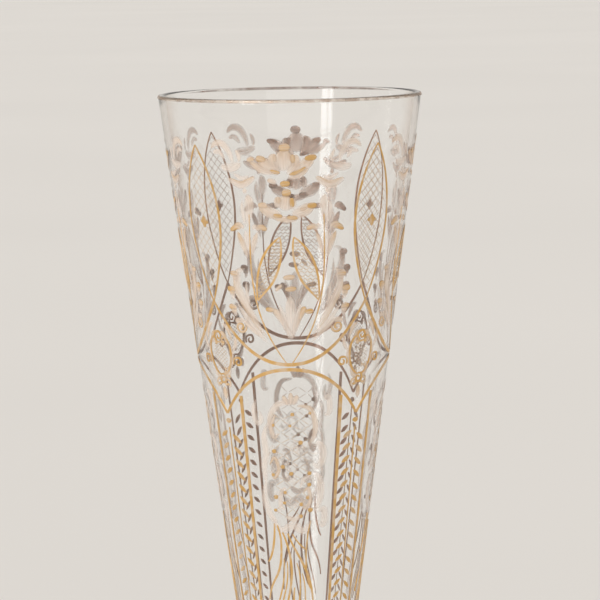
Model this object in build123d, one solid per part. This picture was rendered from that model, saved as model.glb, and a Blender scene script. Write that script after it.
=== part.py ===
"""A tall champagne flute: a blown trumpet bowl on a collar, knop, stem and foot, with fired-on gilding.

The glass is five gathers of clear glass that are joined hot, one on top of the next, each meeting the next
on a flat round face. The gilding is a thin layer of gold that lies on the outside of the bowl and the foot.
Its pattern repeats on four panels. Between two panels stands a pilaster, with a pointed oval above it.

The origin is the centre of the foot's underside, +Z is up, and the first panel faces -Y.
Places on the bowl are given as an angle round it from the middle of a panel, positive towards +X,
and as a drop below the rim. All lengths are in millimetres and all angles in degrees.
"""

from build123d import *
from math import ceil, cos, floor, hypot, pi, radians, sin
import os

# ---- The glass ------------------------------------------------------------------------------------------
RIM_RADIUS = 29.0           # outside of the bowl at the rim
SHANK_RADIUS = 4.9          # outside of the bowl where it meets the collar
BOWL_HEIGHT = 178.0
RIM_WALL = 1.3              # wall at the rim
WELL_WALL = 2.6             # wall at the foot of the hollow
WELL_ROUND = 3.2            # depth of the rounded end of the hollow
SHANK_SOLID = 11.8          # solid glass from the hollow down to the collar

COLLAR_RADIUS = 8.2
COLLAR_HEIGHT = 3.0

KNOP_RADIUS = 8.8
KNOP_HEIGHT = 16.0
KNOP_TOP_RADIUS = 4.9
KNOP_FOOT_RADIUS = 4.2
KNOP_SWELL_HEIGHT = 9.6     # from the knop's foot up to its widest place

STEM_HEIGHT = 12.0
STEM_WAIST_RADIUS = 3.5
STEM_WAIST_HEIGHT = 7.4     # from the stem's foot up to its narrowest place
STEM_FOOT_RADIUS = 5.6

FOOT_RADIUS = 33.0
FOOT_HEIGHT = 15.0
FOOT_EDGE = 2.4             # thickness of the rounded edge
FOOT_SLOPE_RISE = 3.6       # rise of the flat cone from the edge to the dome
FOOT_DOME_RADIUS = 13.0     # where the flat cone turns up into the dome
FOOT_REST_WIDTH = 6.8       # width of the ground ring that the glass stands on
FOOT_KICK = 1.6             # rise of the hollow under the foot

# ---- The gilding ----------------------------------------------------------------------------------------
PANELS = 4
GILT = 0.10                 # thickness of the gold
LINE = 0.52                 # width of a main line
FINE_LINE = 0.34            # width of a light line
BOW_LINE = 0.76             # width of a swag or an arch
BAR = 0.80                  # width of a pilaster's side bars
TAPER = 0.62                # a stroke's width at its ends, as a share of its middle
BOW_TAPER = 0.8             # the same for a swag or an arch
STROKE_STEPS = 2            # places where a stroke's width is set, for each of its points

OVAL_TOP = 9.9              # drops below the rim
OVAL_FOOT = 44.0
OVAL_WIDEST = 26.5
OVAL_HALF_ANGLE = 10.4
LOZENGE_LENGTH = 2.6
LOZENGE_WIDTH = 1.3

SWAG_DROP = 57.3            # drop to the swag's middle
ARCH_CLEAR = 1.1            # from the swag's middle down to the arch's
ARCH_RISE = 10.4
BOW = 2.2                   # power of the curve of a swag or an arch, where 2 is a parabola

LYRE_TOP = 24.5
LYRE_SIDE_ANGLE = 18.8

TOP_CURL_RADIUS = 1.5
SIDE_CURL_RADIUS = 1.25
FOOT_CURL_RADIUS = 1.2
CURL_EYE = 0.3              # radius where a curl's line ends

PILASTER_HALF_ANGLE = 12.8
BAR_CLEAR = 1.2             # from the arch down to the top of a bar
PILASTER_CLEAR = 15.0       # from the pilaster's foot down to the collar
VINE_BUD_CLEAR = 1.7        # from the arch's foot down to the bud
VINE_STALK = 1.5            # from the bud down to the top of the vine
VINE_CLEAR = 25.0           # from the vine's foot down to the collar
VINE_PITCH = 2.8
LEAF_BREADTH = 1.0           # at the top of the vine

PLUME_TOP = 93.0            # the plume keeps its shape and starts here

SHANK_RING_CLEAR = 9.0      # from the ring on the shank down to the collar
RING = 0.9
FOOT_RING_INSET = 2.8       # from the edge of the foot in to its gold ring

# ---- Worked out from the sizes above ---------------------------------------------------------------------
PANEL_ANGLE = 360 / PANELS
FALL = (RIM_RADIUS - SHANK_RADIUS) / BOWL_HEIGHT
FOOT_TOP = FOOT_HEIGHT
STEM_TOP = FOOT_TOP + STEM_HEIGHT
KNOP_TOP = STEM_TOP + KNOP_HEIGHT
COLLAR_TOP = KNOP_TOP + COLLAR_HEIGHT
RIM_Z = COLLAR_TOP + BOWL_HEIGHT
WELL_DEPTH = BOWL_HEIGHT - SHANK_SOLID - WELL_ROUND
FOOT_EDGE_RADIUS = FOOT_RADIUS - FOOT_EDGE / 2
ARCH_TOP = SWAG_DROP + ARCH_CLEAR
ARCH_FOOT = ARCH_TOP + ARCH_RISE
SCROLL_DROP = (OVAL_FOOT + ARCH_FOOT) / 2
VINE_BUD_DROP = ARCH_FOOT + VINE_BUD_CLEAR
VINE_TOP = VINE_BUD_DROP + VINE_STALK


def radius_at(drop):
    """The bowl's outside radius at a drop below the rim."""
    return RIM_RADIUS - FALL * drop


def flat_point(place):
    """A place (angle, drop) on the bowl, seen square on from the front."""
    angle, drop = place
    return (radius_at(drop) * sin(radians(angle)), RIM_Z - drop)


def millimetres_round(drop):
    """Length round the bowl of one degree, at that drop."""
    return radius_at(drop) * pi / 180


def places_about(middle, offsets):
    """Places at offsets (right, down) in millimetres from a middle place (angle, drop)."""
    angle, drop = middle
    return [(angle + right / millimetres_round(drop), drop + down) for right, down in offsets]


def mirrored(places):
    """The same places on the other side of the panel's middle."""
    return [(-angle, drop) for angle, drop in places]


# ---- Glass pieces ----------------------------------------------------------------------------------------
def turn_glass(*edges):
    """A solid turned about Z from a closed run of profile edges."""
    return revolve(Plane.XZ * make_face(edges), Axis.Z)


def make_bowl():
    """The trumpet bowl: a straight cone outside, a hollow that stops short of the shank."""
    well_radius = radius_at(WELL_DEPTH) - WELL_WALL
    lip = RIM_WALL / 2
    lip_outer = (radius_at(lip), RIM_Z - lip)
    lip_inner = (radius_at(lip) - RIM_WALL, RIM_Z - lip)
    lip_top = (radius_at(lip) - lip, RIM_Z)
    well_edge = (well_radius, RIM_Z - WELL_DEPTH)
    well_end = (0, RIM_Z - WELL_DEPTH - WELL_ROUND)
    return turn_glass(
        Line((0, COLLAR_TOP), (SHANK_RADIUS, COLLAR_TOP)),
        Line((SHANK_RADIUS, COLLAR_TOP), lip_outer),
        ThreePointArc(lip_outer, lip_top, lip_inner),
        Line(lip_inner, well_edge),
        TangentArc(well_end, well_edge, tangent=(1, 0)),
        Line(well_end, (0, COLLAR_TOP)),
    )


def make_collar():
    """The flat round collar, or merese, that the bowl is set down on."""
    middle = KNOP_TOP + COLLAR_HEIGHT / 2
    neck = COLLAR_RADIUS - COLLAR_HEIGHT / 2
    return turn_glass(
        Line((0, KNOP_TOP), (neck, KNOP_TOP)),
        ThreePointArc((neck, KNOP_TOP), (COLLAR_RADIUS, middle), (neck, COLLAR_TOP)),
        Line((neck, COLLAR_TOP), (0, COLLAR_TOP)),
        Line((0, COLLAR_TOP), (0, KNOP_TOP)),
    )


def make_knop():
    """The solid knop, widest above its middle."""
    foot = (KNOP_FOOT_RADIUS, STEM_TOP)
    swell = (KNOP_RADIUS, STEM_TOP + KNOP_SWELL_HEIGHT)
    top = (KNOP_TOP_RADIUS, KNOP_TOP)
    return turn_glass(
        Line((0, STEM_TOP), foot),
        Spline(foot, swell, tangents=[(1, 0.5), (0, 1)]),
        Spline(swell, top, tangents=[(0, 1), (-1, 0.6)]),
        Line(top, (0, KNOP_TOP)),
        Line((0, KNOP_TOP), (0, STEM_TOP)),
    )


def make_stem():
    """The short solid stem, which widens into the foot."""
    foot = (STEM_FOOT_RADIUS, FOOT_TOP)
    waist = (STEM_WAIST_RADIUS, FOOT_TOP + STEM_WAIST_HEIGHT)
    top = (KNOP_FOOT_RADIUS, STEM_TOP)
    return turn_glass(
        Line((0, FOOT_TOP), foot),
        Spline(foot, waist, tangents=[(-0.5, 1), (0, 1)]),
        Spline(waist, top, tangents=[(0, 1), (0.4, 1)]),
        Line(top, (0, STEM_TOP)),
        Line((0, STEM_TOP), (0, FOOT_TOP)),
    )


def foot_height_at(radius):
    """Height of the foot's flat cone at a radius outside the dome."""
    return FOOT_EDGE + FOOT_SLOPE_RISE * (FOOT_EDGE_RADIUS - radius) / (FOOT_EDGE_RADIUS - FOOT_DOME_RADIUS)


def make_foot():
    """The round foot: a rounded edge, a flat cone and a dome, over a hollow with a ground ring round it."""
    boss = (STEM_FOOT_RADIUS, FOOT_TOP)
    dome_start = (FOOT_DOME_RADIUS, foot_height_at(FOOT_DOME_RADIUS))
    edge_top = (FOOT_EDGE_RADIUS, FOOT_EDGE)
    edge_out = (FOOT_RADIUS, FOOT_EDGE / 2)
    rest_outer = (FOOT_EDGE_RADIUS, 0)
    rest_inner = (FOOT_EDGE_RADIUS - FOOT_REST_WIDTH, 0)
    slope = FOOT_SLOPE_RISE / (FOOT_EDGE_RADIUS - FOOT_DOME_RADIUS)
    return turn_glass(
        Line((0, FOOT_TOP), boss),
        Spline(boss, dome_start, tangents=[(0.3, -1), (1, -slope)]),
        Line(dome_start, edge_top),
        ThreePointArc(edge_top, edge_out, rest_outer),
        Line(rest_outer, rest_inner),
        TangentArc((0, FOOT_KICK), rest_inner, tangent=(1, 0)),
        Line((0, FOOT_KICK), (0, FOOT_TOP)),
    )


# ---- Gilding ---------------------------------------------------------------------------------------------
def ribbon(places, width, taper=TAPER):
    """The outline of a stroke through places (angle, drop), widest in its middle."""
    line = Spline(*places)
    steps = STROKE_STEPS * (len(places) - 1)
    sides = {1: [], -1: []}
    for step in range(steps + 1):
        along = step / steps
        here = line @ along
        way = line % along
        degree = millimetres_round(here.Y)
        round_way, down_way = way.X * degree, way.Y
        length = hypot(round_way, down_way)
        half = width / 2 * (taper + (1 - taper) * sin(pi * along))
        for side, outline in sides.items():
            outline.append(
                flat_point(
                    (
                        here.X - side * half * down_way / length / degree,
                        here.Y + side * half * round_way / length,
                    )
                )
            )
    left, right = sides[1], sides[-1]
    return make_face(
        [
            Spline(*left),
            Line(left[-1], right[-1]),
            Spline(*right),
            Line(right[0], left[0]),
        ]
    )


def leaf(base, tip, breadth):
    """The outline of a leaf between two places, pointed at both ends."""
    start, end = Vector(*flat_point(base)), Vector(*flat_point(tip))
    across = (end - start).rotate(Axis.Z, 90).normalized() * (breadth / 2)
    middle = (start + end) / 2
    return make_face(
        [
            ThreePointArc(start, middle + across, end),
            ThreePointArc(end, middle - across, start),
        ]
    )


def spiral(about, inner, outer, turns, start):
    """Places on a spiral round a middle place, from its outer end in, with its radii in millimetres."""
    count = ceil(8 * abs(turns))
    offsets = []
    for step in range(count + 1):
        share = step / count
        reach = outer + (inner - outer) * share
        turn = radians(start + 360 * turns * share)
        offsets.append((reach * cos(turn), reach * sin(turn)))
    return places_about(about, offsets)


def gilt_skin(angle):
    """The layer that the gold fills, round the front of the bowl over that angle."""
    low, high = OVAL_TOP / 2, BOWL_HEIGHT - SHANK_RING_CLEAR / 2
    outline = Polyline(
        (radius_at(low), RIM_Z - low),
        (radius_at(low) + GILT, RIM_Z - low),
        (radius_at(high) + GILT, RIM_Z - high),
        (radius_at(high), RIM_Z - high),
        close=True,
    )
    layer = revolve(Plane.XZ * make_face(outline), Axis.Z, angle)
    return layer.rotate(Axis.Z, -90 - angle / 2)


def laid_on(outlines, skin):
    """Gold of those outlines, laid on the front of the bowl."""
    blocks = extrude(Plane.XZ * (Sketch() + outlines), RIM_RADIUS + 2 * GILT)
    return blocks & skin


def bow_drop(angle, middle, ends):
    """The drop of a swag or an arch at an angle, from its drops in the middle and at the ends."""
    return middle + (ends - middle) * abs(2 * angle / PANEL_ANGLE) ** BOW


def bow(middle, ends):
    """Places along a swag or an arch, from one side of the panel to the other."""
    angles = [step * PANEL_ANGLE / 8 for step in range(-4, 5)]
    return [(angle, bow_drop(angle, middle, ends)) for angle in angles]


def make_oval(skin):
    """A pointed oval: two bowed strokes that meet at its tips, and a lozenge in its middle."""
    side = [
        (0, OVAL_TOP),
        (OVAL_HALF_ANGLE * 0.6, OVAL_TOP + (OVAL_WIDEST - OVAL_TOP) * 0.36),
        (OVAL_HALF_ANGLE, OVAL_WIDEST),
        (OVAL_HALF_ANGLE * 0.68, OVAL_FOOT - (OVAL_FOOT - OVAL_WIDEST) * 0.46),
        (0, OVAL_FOOT),
    ]
    lozenge = leaf(
        (0, OVAL_WIDEST - LOZENGE_LENGTH / 2), (0, OVAL_WIDEST + LOZENGE_LENGTH / 2), LOZENGE_WIDTH
    )
    return laid_on([ribbon(side, LINE), ribbon(mirrored(side), LINE), lozenge], skin)


def make_swag(skin):
    """The swag that hangs across a panel between the feet of two ovals."""
    return laid_on([ribbon(bow(SWAG_DROP, OVAL_FOOT), BOW_LINE, BOW_TAPER)], skin)


def make_arch(skin):
    """The arch over a lower panel, which ends in a cusp over each pilaster."""
    return laid_on([ribbon(bow(ARCH_TOP, ARCH_FOOT), BOW_LINE, BOW_TAPER)], skin)


def lyre_side():
    """Places down the right side of the lyre, from its top to the swag."""
    return [
        (LYRE_SIDE_ANGLE - 0.7, LYRE_TOP),
        (LYRE_SIDE_ANGLE - 0.1, LYRE_TOP + 7),
        (LYRE_SIDE_ANGLE, LYRE_TOP + 13),
        (LYRE_SIDE_ANGLE - 2.4, LYRE_TOP + 20.5),
        (LYRE_SIDE_ANGLE * 0.58, SWAG_DROP - 6.2),
        (LYRE_SIDE_ANGLE * 0.08, SWAG_DROP - 0.2),
    ]


def make_lyre(skin):
    """Two light lines that rise from the middle of the swag and stand on each side of the leaves."""
    return laid_on([ribbon(lyre_side(), FINE_LINE), ribbon(mirrored(lyre_side()), FINE_LINE)], skin)


def leaf_edges():
    """Places along the outer and the inner edge of the right-hand leaf inside the lyre."""
    tip, heel = (3.4, LYRE_TOP + 4.9), (LYRE_SIDE_ANGLE - 2.5, LYRE_TOP + 18.7)
    outer = [tip, (9.6, LYRE_TOP + 7.4), (14.4, LYRE_TOP + 11.4), (16.3, LYRE_TOP + 15.2), heel]
    inner = [tip, (3.0, LYRE_TOP + 8.4), (5.6, LYRE_TOP + 13.0), (10.8, LYRE_TOP + 16.3), heel]
    return outer, inner


def make_leaf_pair(skin):
    """The outlines of the two leaves that lean outwards inside the lyre."""
    strokes = []
    for edge in leaf_edges():
        strokes += [ribbon(edge, LINE), ribbon(mirrored(edge), LINE)]
    return laid_on(strokes, skin)


def make_scrolls(skin):
    """Scrollwork over a pilaster: a curl above and below, and a bracket with a curl on each side."""
    bracket = places_about(
        (0, SCROLL_DROP), [(0.7, -3.5), (2.5, -3.9), (3.1, -2.1), (3.0, 0.3), (2.1, 2.6), (0.8, 3.7)]
    )
    middles = places_about((0, SCROLL_DROP), [(4.9, 0.7), (-0.05, -4.8), (-0.2, 4.75)])
    side_middle, top_middle, foot_middle = middles
    side_curl = spiral(side_middle, CURL_EYE, SIDE_CURL_RADIUS, 1.3, 150)
    top_curl = spiral(top_middle, CURL_EYE, TOP_CURL_RADIUS, 1.4, 60)
    foot_curl = spiral(foot_middle, CURL_EYE, FOOT_CURL_RADIUS, 1.3, -120)
    strokes = [ribbon(top_curl, LINE), ribbon(foot_curl, LINE)]
    for stroke in (bracket, side_curl):
        strokes += [ribbon(stroke, LINE), ribbon(mirrored(stroke), LINE)]
    return laid_on(strokes, skin)


def upright(angle, half, top, foot):
    """The outline of an upright line, which keeps its half-width in degrees as the bowl narrows."""
    corners = [(angle - half, top), (angle + half, top), (angle + half, foot), (angle - half, foot)]
    return make_face(Polyline(*[flat_point(corner) for corner in corners], close=True))


def make_bars(skin):
    """The two bars that frame a pilaster and draw together down the bowl."""
    top = bow_drop(PANEL_ANGLE / 2 - PILASTER_HALF_ANGLE, ARCH_TOP, ARCH_FOOT) + BAR_CLEAR
    foot = BOWL_HEIGHT - PILASTER_CLEAR
    half = BAR / 2 / millimetres_round(top)
    bars = [upright(side * PILASTER_HALF_ANGLE, half, top, foot) for side in (-1, 1)]
    return laid_on(bars, skin)


def make_vine(skin):
    """The upright vine inside a pilaster: a bud, a stem and leaves that droop to each side of it."""
    foot = BOWL_HEIGHT - VINE_CLEAR
    stem = upright(0, FINE_LINE / 2 / millimetres_round(VINE_TOP), VINE_TOP, foot)
    outlines = [stem, leaf((-2.4, VINE_BUD_DROP), (2.4, VINE_BUD_DROP), 1.1)]
    for step in range(floor((foot - VINE_TOP) / VINE_PITCH)):
        drop = VINE_TOP + 0.8 + step * VINE_PITCH
        breadth = LEAF_BREADTH * millimetres_round(drop) / millimetres_round(VINE_TOP)
        outlines.append(leaf((-2.6, drop), (-9.2, drop + 1.5), breadth))
        outlines.append(leaf((2.2, drop + 0.7), (9.4, drop + 2.6), breadth))
    return laid_on(outlines, skin)


def plume_lines():
    """Places along the lines of the plume, each from the top down, with its width.

    Each place is an angle and a drop below the plume's top.
    """
    return [
        ([(-14.5, 0), (-15.3, 3.5), (-17.2, 6.2), (-21.5, 8.8)], LINE),
        ([(-12.4, 0.4), (-9.8, 5), (-11.2, 9.3), (-17.0, 13), (-23, 17.5)], LINE),
        ([(-8.4, 2), (-3.8, 6.3), (-2.0, 11), (-3.6, 15), (-9.5, 20)], LINE),
        ([(-4.4, 2.2), (3.0, 6.8), (9.6, 10.4), (15, 15), (17, 21)], LINE),
        ([(-0.6, 2.4), (4.6, 4.6), (10.6, 6)], FINE_LINE),
        ([(13.6, -0.6), (10.4, 5), (10.2, 10), (14, 15)], FINE_LINE),
        ([(-8.2, 8), (-8.4, 11.6), (-13, 17), (-18, 22)], FINE_LINE),
        ([(-5.6, 8.6), (-5.8, 12.6), (-9.6, 17), (-14, 23)], FINE_LINE),
        ([(2.4, 9), (5.2, 14), (3.4, 19), (-2.5, 25)], FINE_LINE),
        ([(6.8, 11.4), (9.6, 16.6), (8.4, 22), (3, 30)], FINE_LINE),
        ([(0.2, 14.6), (-1.0, 21), (0.4, 29), (0, 38)], LINE),
    ]


def make_plume(skin):
    """The plume of loose feather lines at the foot of a panel."""
    strokes = []
    for places, width in plume_lines():
        strokes.append(ribbon([(angle, PLUME_TOP + below) for angle, below in places], width))
    return laid_on(strokes, skin)


def make_shank_ring():
    """The gold ring round the foot of the bowl."""
    low = BOWL_HEIGHT - SHANK_RING_CLEAR
    high = low - RING
    return turn_glass(
        Polyline(
            (radius_at(low), RIM_Z - low),
            (radius_at(low) + GILT, RIM_Z - low),
            (radius_at(high) + GILT, RIM_Z - high),
            (radius_at(high), RIM_Z - high),
            close=True,
        )
    )


def make_foot_ring():
    """The gold ring near the edge of the foot."""
    outer = FOOT_RADIUS - FOOT_RING_INSET
    inner = outer - RING
    return turn_glass(
        Polyline(
            (inner, foot_height_at(inner)),
            (outer, foot_height_at(outer)),
            (outer, foot_height_at(outer) + GILT),
            (inner, foot_height_at(inner) + GILT),
            close=True,
        )
    )


def main():
    os.makedirs("parts", exist_ok=True)
    nodes = {
        "bowl": make_bowl(),
        "collar": make_collar(),
        "knop": make_knop(),
        "stem": make_stem(),
        "foot": make_foot(),
        "gilt_shank_ring": make_shank_ring(),
        "gilt_foot_ring": make_foot_ring(),
    }
    skin = gilt_skin(PANEL_ANGLE)
    oval = make_oval(skin)
    next_ovals = [oval.rotate(Axis.Z, side * PANEL_ANGLE / 2) for side in (-1, 1)]
    swag = make_swag(skin) - next_ovals
    lyre = make_lyre(skin) - swag
    over_panel = {
        "gilt_swag": swag,
        "gilt_arch": make_arch(skin),
        "gilt_lyre": lyre,
        "gilt_leaf_pair": make_leaf_pair(skin) - lyre,
        "gilt_plume": make_plume(skin),
    }
    over_pilaster = {
        "gilt_oval": oval,
        "gilt_scrolls": make_scrolls(skin),
        "gilt_bars": make_bars(skin),
        "gilt_vine": make_vine(skin),
    }
    for panel in range(PANELS):
        for name, gold in over_panel.items():
            nodes[f"{name}_{panel + 1}"] = gold.rotate(Axis.Z, panel * PANEL_ANGLE)
        for name, gold in over_pilaster.items():
            nodes[f"{name}_{panel + 1}"] = gold.rotate(Axis.Z, (panel + 0.5) * PANEL_ANGLE)
    for name, solid in nodes.items():
        export_step(solid, f"parts/{name}.step")


main()
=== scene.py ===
"""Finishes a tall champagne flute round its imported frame: turned glass, fired gilding and matt engraving.

Run it as a script in Blender. Each piece, or group of like pieces, has its own operator, and main calls
them in order. A place on the bowl is (angle, drop): degrees round from the middle of a panel, positive
towards +X on the first panel, and millimetres below the rim. Strokes are given as places, and laid on the
cone of the bowl.
"""

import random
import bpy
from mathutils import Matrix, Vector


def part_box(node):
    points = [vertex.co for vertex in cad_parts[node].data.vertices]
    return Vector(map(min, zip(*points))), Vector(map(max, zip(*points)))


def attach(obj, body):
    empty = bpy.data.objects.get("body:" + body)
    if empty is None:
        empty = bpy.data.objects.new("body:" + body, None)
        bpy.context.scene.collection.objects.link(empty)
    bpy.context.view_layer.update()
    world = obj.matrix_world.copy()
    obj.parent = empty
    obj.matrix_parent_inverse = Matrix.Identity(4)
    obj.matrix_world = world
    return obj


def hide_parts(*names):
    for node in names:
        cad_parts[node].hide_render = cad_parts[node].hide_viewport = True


bl_info = {
    "name": "Gilded Champagne Flute",
    "version": (1, 0, 0),
    "blender": (4, 5, 0),
    "location": "View3D > Sidebar > Flute",
    "description": "Clear glass, fired gilding and matt wheel engraving for a tall champagne flute",
    "category": "Object",
}

from math import acos, atan2, ceil, cos, floor, hypot, pi, radians, sin, sqrt

import bmesh
import bpy
from mathutils import Matrix, Vector

MM = 0.001

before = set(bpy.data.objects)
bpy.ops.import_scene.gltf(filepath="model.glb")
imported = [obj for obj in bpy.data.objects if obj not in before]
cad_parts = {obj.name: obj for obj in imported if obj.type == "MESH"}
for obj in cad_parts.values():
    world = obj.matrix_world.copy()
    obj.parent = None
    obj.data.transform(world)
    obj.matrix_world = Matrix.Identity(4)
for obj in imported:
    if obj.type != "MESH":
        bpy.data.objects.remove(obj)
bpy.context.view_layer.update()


# ---- Sizes read from the frame ---------------------------------------------------------------------------
def rings(node):
    """(radius, height) in millimetres of each vertex of a turned CAD node."""
    return [(hypot(v.co.x, v.co.y) / MM, v.co.z / MM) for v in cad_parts[node].data.vertices]


def cone_of_bowl():
    """The outside radius that the bowl's cone has at the rim, and how much it falls in a millimetre."""
    lip_radius, lip_height = max(rings("bowl"))
    shank_radius = max(radius for radius, height in rings("bowl") if height < COLLAR_TOP + 0.01)
    fall = (lip_radius - shank_radius) / (lip_height - COLLAR_TOP)
    return lip_radius + fall * (RIM_HEIGHT - lip_height), fall


PANELS = 4
PANEL_ANGLE = 360 / PANELS
COLLAR_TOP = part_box("bowl")[0].z / MM
RIM_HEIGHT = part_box("bowl")[1].z / MM
RIM_RADIUS, FALL = cone_of_bowl()
OVAL_TOP = RIM_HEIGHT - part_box("gilt_oval_1")[1].z / MM
OVAL_FOOT = RIM_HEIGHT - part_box("gilt_oval_1")[0].z / MM
SCROLL_TOP = RIM_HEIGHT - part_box("gilt_scrolls_1")[1].z / MM
SCROLL_FOOT = RIM_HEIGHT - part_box("gilt_scrolls_1")[0].z / MM
LIP_RADIUS = 0.65  # how far the lip is rounded
RIM_LINE_START, RIM_LINE_SWEEP = -8, 68  # degrees round the lip, from its widest place up
OUTLINE_STEP = 2.5  # longest straight step of a turned outline
WELD = 0.002  # points nearer than this are one
SHARP = 35  # degrees at which an edge of the glass stays sharp
EDGE_COVER = 0.08  # how dense a stroke still is at its edge
FLAT_RELIEF = 0.05  # height of hatching and scribbles
PANE_POWER = 18  # watts for each metre of a window pane's width
GLASS_NODES = ("bowl", "collar", "knop", "stem", "foot")
GILT_NODES = [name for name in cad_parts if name.startswith("gilt_")]


# ---- Settings --------------------------------------------------------------------------------------------
class FluteGlassSettings(bpy.types.PropertyGroup):
    """Sizes and colours of the glass."""

    turns: bpy.props.IntProperty(
        name="Turning steps", description="Faces round a turned piece", default=288, min=48, max=512
    )
    tint: bpy.props.FloatVectorProperty(
        name="Tint",
        description="Colour of the glass seen square on",
        subtype="COLOR",
        default=(0.998, 0.996, 0.99),
        min=0,
        max=1,
    )
    # Painted shade: the colour the glass takes where it is seen along its wall, so that its edges look
    # darker
    painted_edge_shade: bpy.props.FloatVectorProperty(
        name="Edge tint",
        description="Colour of the glass where it is seen along its wall",
        subtype="COLOR",
        default=(0.62, 0.47, 0.36),
        min=0,
        max=1,
    )
    gild_gap: bpy.props.FloatProperty(
        name="Gap under the gilding",
        description="How far the glass lies under the gilding, so that light gets between them",
        unit="LENGTH",
        default=0.04 * MM,
    )
    joint_gap: bpy.props.FloatProperty(
        name="Joint gap",
        description="Gap between two gathers at their joint",
        unit="LENGTH",
        default=0.01 * MM,
    )


class FluteGiltSettings(bpy.types.PropertyGroup):
    """Colours of the gilding."""

    gold: bpy.props.FloatVectorProperty(
        name="Gold", description="Fired gold", subtype="COLOR", default=(0.72, 0.44, 0.16), min=0, max=1
    )
    rubbed: bpy.props.FloatVectorProperty(
        name="Rubbed gold",
        description="Gold that is rubbed thin",
        subtype="COLOR",
        default=(0.74, 0.58, 0.42),
        min=0,
        max=1,
    )
    rim: bpy.props.FloatVectorProperty(
        name="Rim",
        description="Gold that is left on the lip",
        subtype="COLOR",
        default=(0.56, 0.43, 0.33),
        min=0,
        max=1,
    )
    rim_lift: bpy.props.FloatProperty(
        name="Rim line", description="Thickness of the gold on the lip", unit="LENGTH", default=0.03 * MM
    )
    # Painted shade: a darker copy of the gold for its back, which faces the axis and is seen through the
    # glass
    inside: bpy.props.FloatVectorProperty(
        name="Inside",
        description="Back of the gold, seen through the glass",
        subtype="COLOR",
        default=(0.46, 0.24, 0.15),
        min=0,
        max=1,
    )


class FluteEngravingSettings(bpy.types.PropertyGroup):
    """Sizes and colours of the wheel engraving."""

    relief: bpy.props.FloatProperty(
        name="Relief", description="Height of a matt stroke", unit="LENGTH", default=0.06 * MM
    )
    bed: bpy.props.FloatProperty(
        name="Bed", description="Depth of the underside of a matt stroke", unit="LENGTH", default=0.02 * MM
    )
    boldness: bpy.props.FloatProperty(
        name="Boldness", description="Breadth of the strokes against the drawn breadth", default=1.1
    )
    hatch: bpy.props.FloatProperty(
        name="Hatch line", description="Width of a hatching line", unit="LENGTH", default=0.13 * MM
    )
    slip: bpy.props.FloatProperty(
        name="Slip of the hand", description="How far a stroke strays", unit="LENGTH", default=0.10 * MM
    )
    matt: bpy.props.FloatVectorProperty(
        name="Matt glass",
        description="Ground glass",
        subtype="COLOR",
        default=(0.95, 0.84, 0.75),
        min=0,
        max=1,
    )
    # Painted shade: a darker, warmer copy of the ground glass for its sides that face the axis and are seen
    # through the bowl
    matt_inside_shade: bpy.props.FloatVectorProperty(
        name="Matt glass inside",
        description="Ground glass seen through the bowl",
        subtype="COLOR",
        default=(0.94, 0.68, 0.54),
        min=0,
        max=1,
    )


class FluteStageSettings(bpy.types.PropertyGroup):
    """The floor, the lights and the camera."""

    floor_colour: bpy.props.FloatVectorProperty(
        name="Floor",
        description="Colour of the floor",
        subtype="COLOR",
        default=(0.80, 0.775, 0.745),
        min=0,
        max=1,
    )
    sky: bpy.props.FloatVectorProperty(
        name="Sky",
        description="Colour of the room near the floor",
        subtype="COLOR",
        default=(0.735, 0.705, 0.665),
        min=0,
        max=1,
    )
    overhead: bpy.props.FloatVectorProperty(
        name="Overhead",
        description="Colour of the room overhead",
        subtype="COLOR",
        default=(0.66, 0.65, 0.63),
        min=0,
        max=1,
    )
    floor_radius: bpy.props.FloatProperty(
        name="Floor radius", description="Radius of the floor", unit="LENGTH", default=30.0
    )
    camera_turn: bpy.props.FloatProperty(
        name="Camera turn", description="Degrees that the camera stands round towards +X", default=2.3
    )
    camera_distance: bpy.props.FloatProperty(
        name="Camera distance", description="From the axis of the glass", unit="LENGTH", default=638.2 * MM
    )
    camera_aside: bpy.props.FloatProperty(
        name="Camera aside", description="Sideways step of the camera", unit="LENGTH", default=1.6 * MM
    )
    camera_over_rim: bpy.props.FloatProperty(
        name="Camera height", description="Height over the rim", unit="LENGTH", default=32.0 * MM
    )
    camera_tilt: bpy.props.FloatProperty(
        name="Camera tilt", description="Degrees below level", default=6.96
    )
    camera_roll: bpy.props.FloatProperty(name="Camera roll", description="Degrees clockwise", default=0.89)
    camera_lens: bpy.props.FloatProperty(name="Lens", description="Focal length in mm", default=174.1)


# ---- Shader node groups ----------------------------------------------------------------------------------
def new_group(name, inputs, outputs):
    """An empty shader node group with number sockets in, and (name, type) sockets out."""
    group = bpy.data.node_groups.new(name, "ShaderNodeTree")
    for label, value in inputs.items():
        socket = group.interface.new_socket(name=label, in_out="INPUT", socket_type="NodeSocketFloat")
        socket.default_value = value
    for label, kind in outputs.items():
        group.interface.new_socket(name=label, in_out="OUTPUT", socket_type=kind)
    return group


def add_node(tree, kind, inputs=(), **settings):
    """A shader node with its settings, and its inputs as (name or number, value or output socket)."""
    node = tree.nodes.new(kind)
    for label, value in settings.items():
        setattr(node, label, value)
    for label, value in dict(inputs).items():
        if isinstance(value, bpy.types.NodeSocket):
            tree.links.new(value, node.inputs[label])
        else:
            node.inputs[label].default_value = value
    return node


def mix_colours(tree, factor, first, second):
    """The colour between two colours or colour sockets, at a factor or factor socket."""
    node = tree.nodes.new("ShaderNodeMix")
    node.data_type = "RGBA"
    for socket, value in zip((node.inputs[0], node.inputs[6], node.inputs[7]), (factor, first, second)):
        if isinstance(value, bpy.types.NodeSocket):
            tree.links.new(value, socket)
        elif socket.type == "RGBA":
            socket.default_value = (*value[:3], 1)
        else:
            socket.default_value = value
    return node.outputs[2]


def spread(tree, value, low, high, to_low=0.0, to_high=1.0):
    """A value stretched from one range to another, and kept within it."""
    inputs = {"From Min": low, "From Max": high, "To Min": to_low, "To Max": to_high, "Value": value}
    return add_node(tree, "ShaderNodeMapRange", inputs).outputs["Result"]


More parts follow.
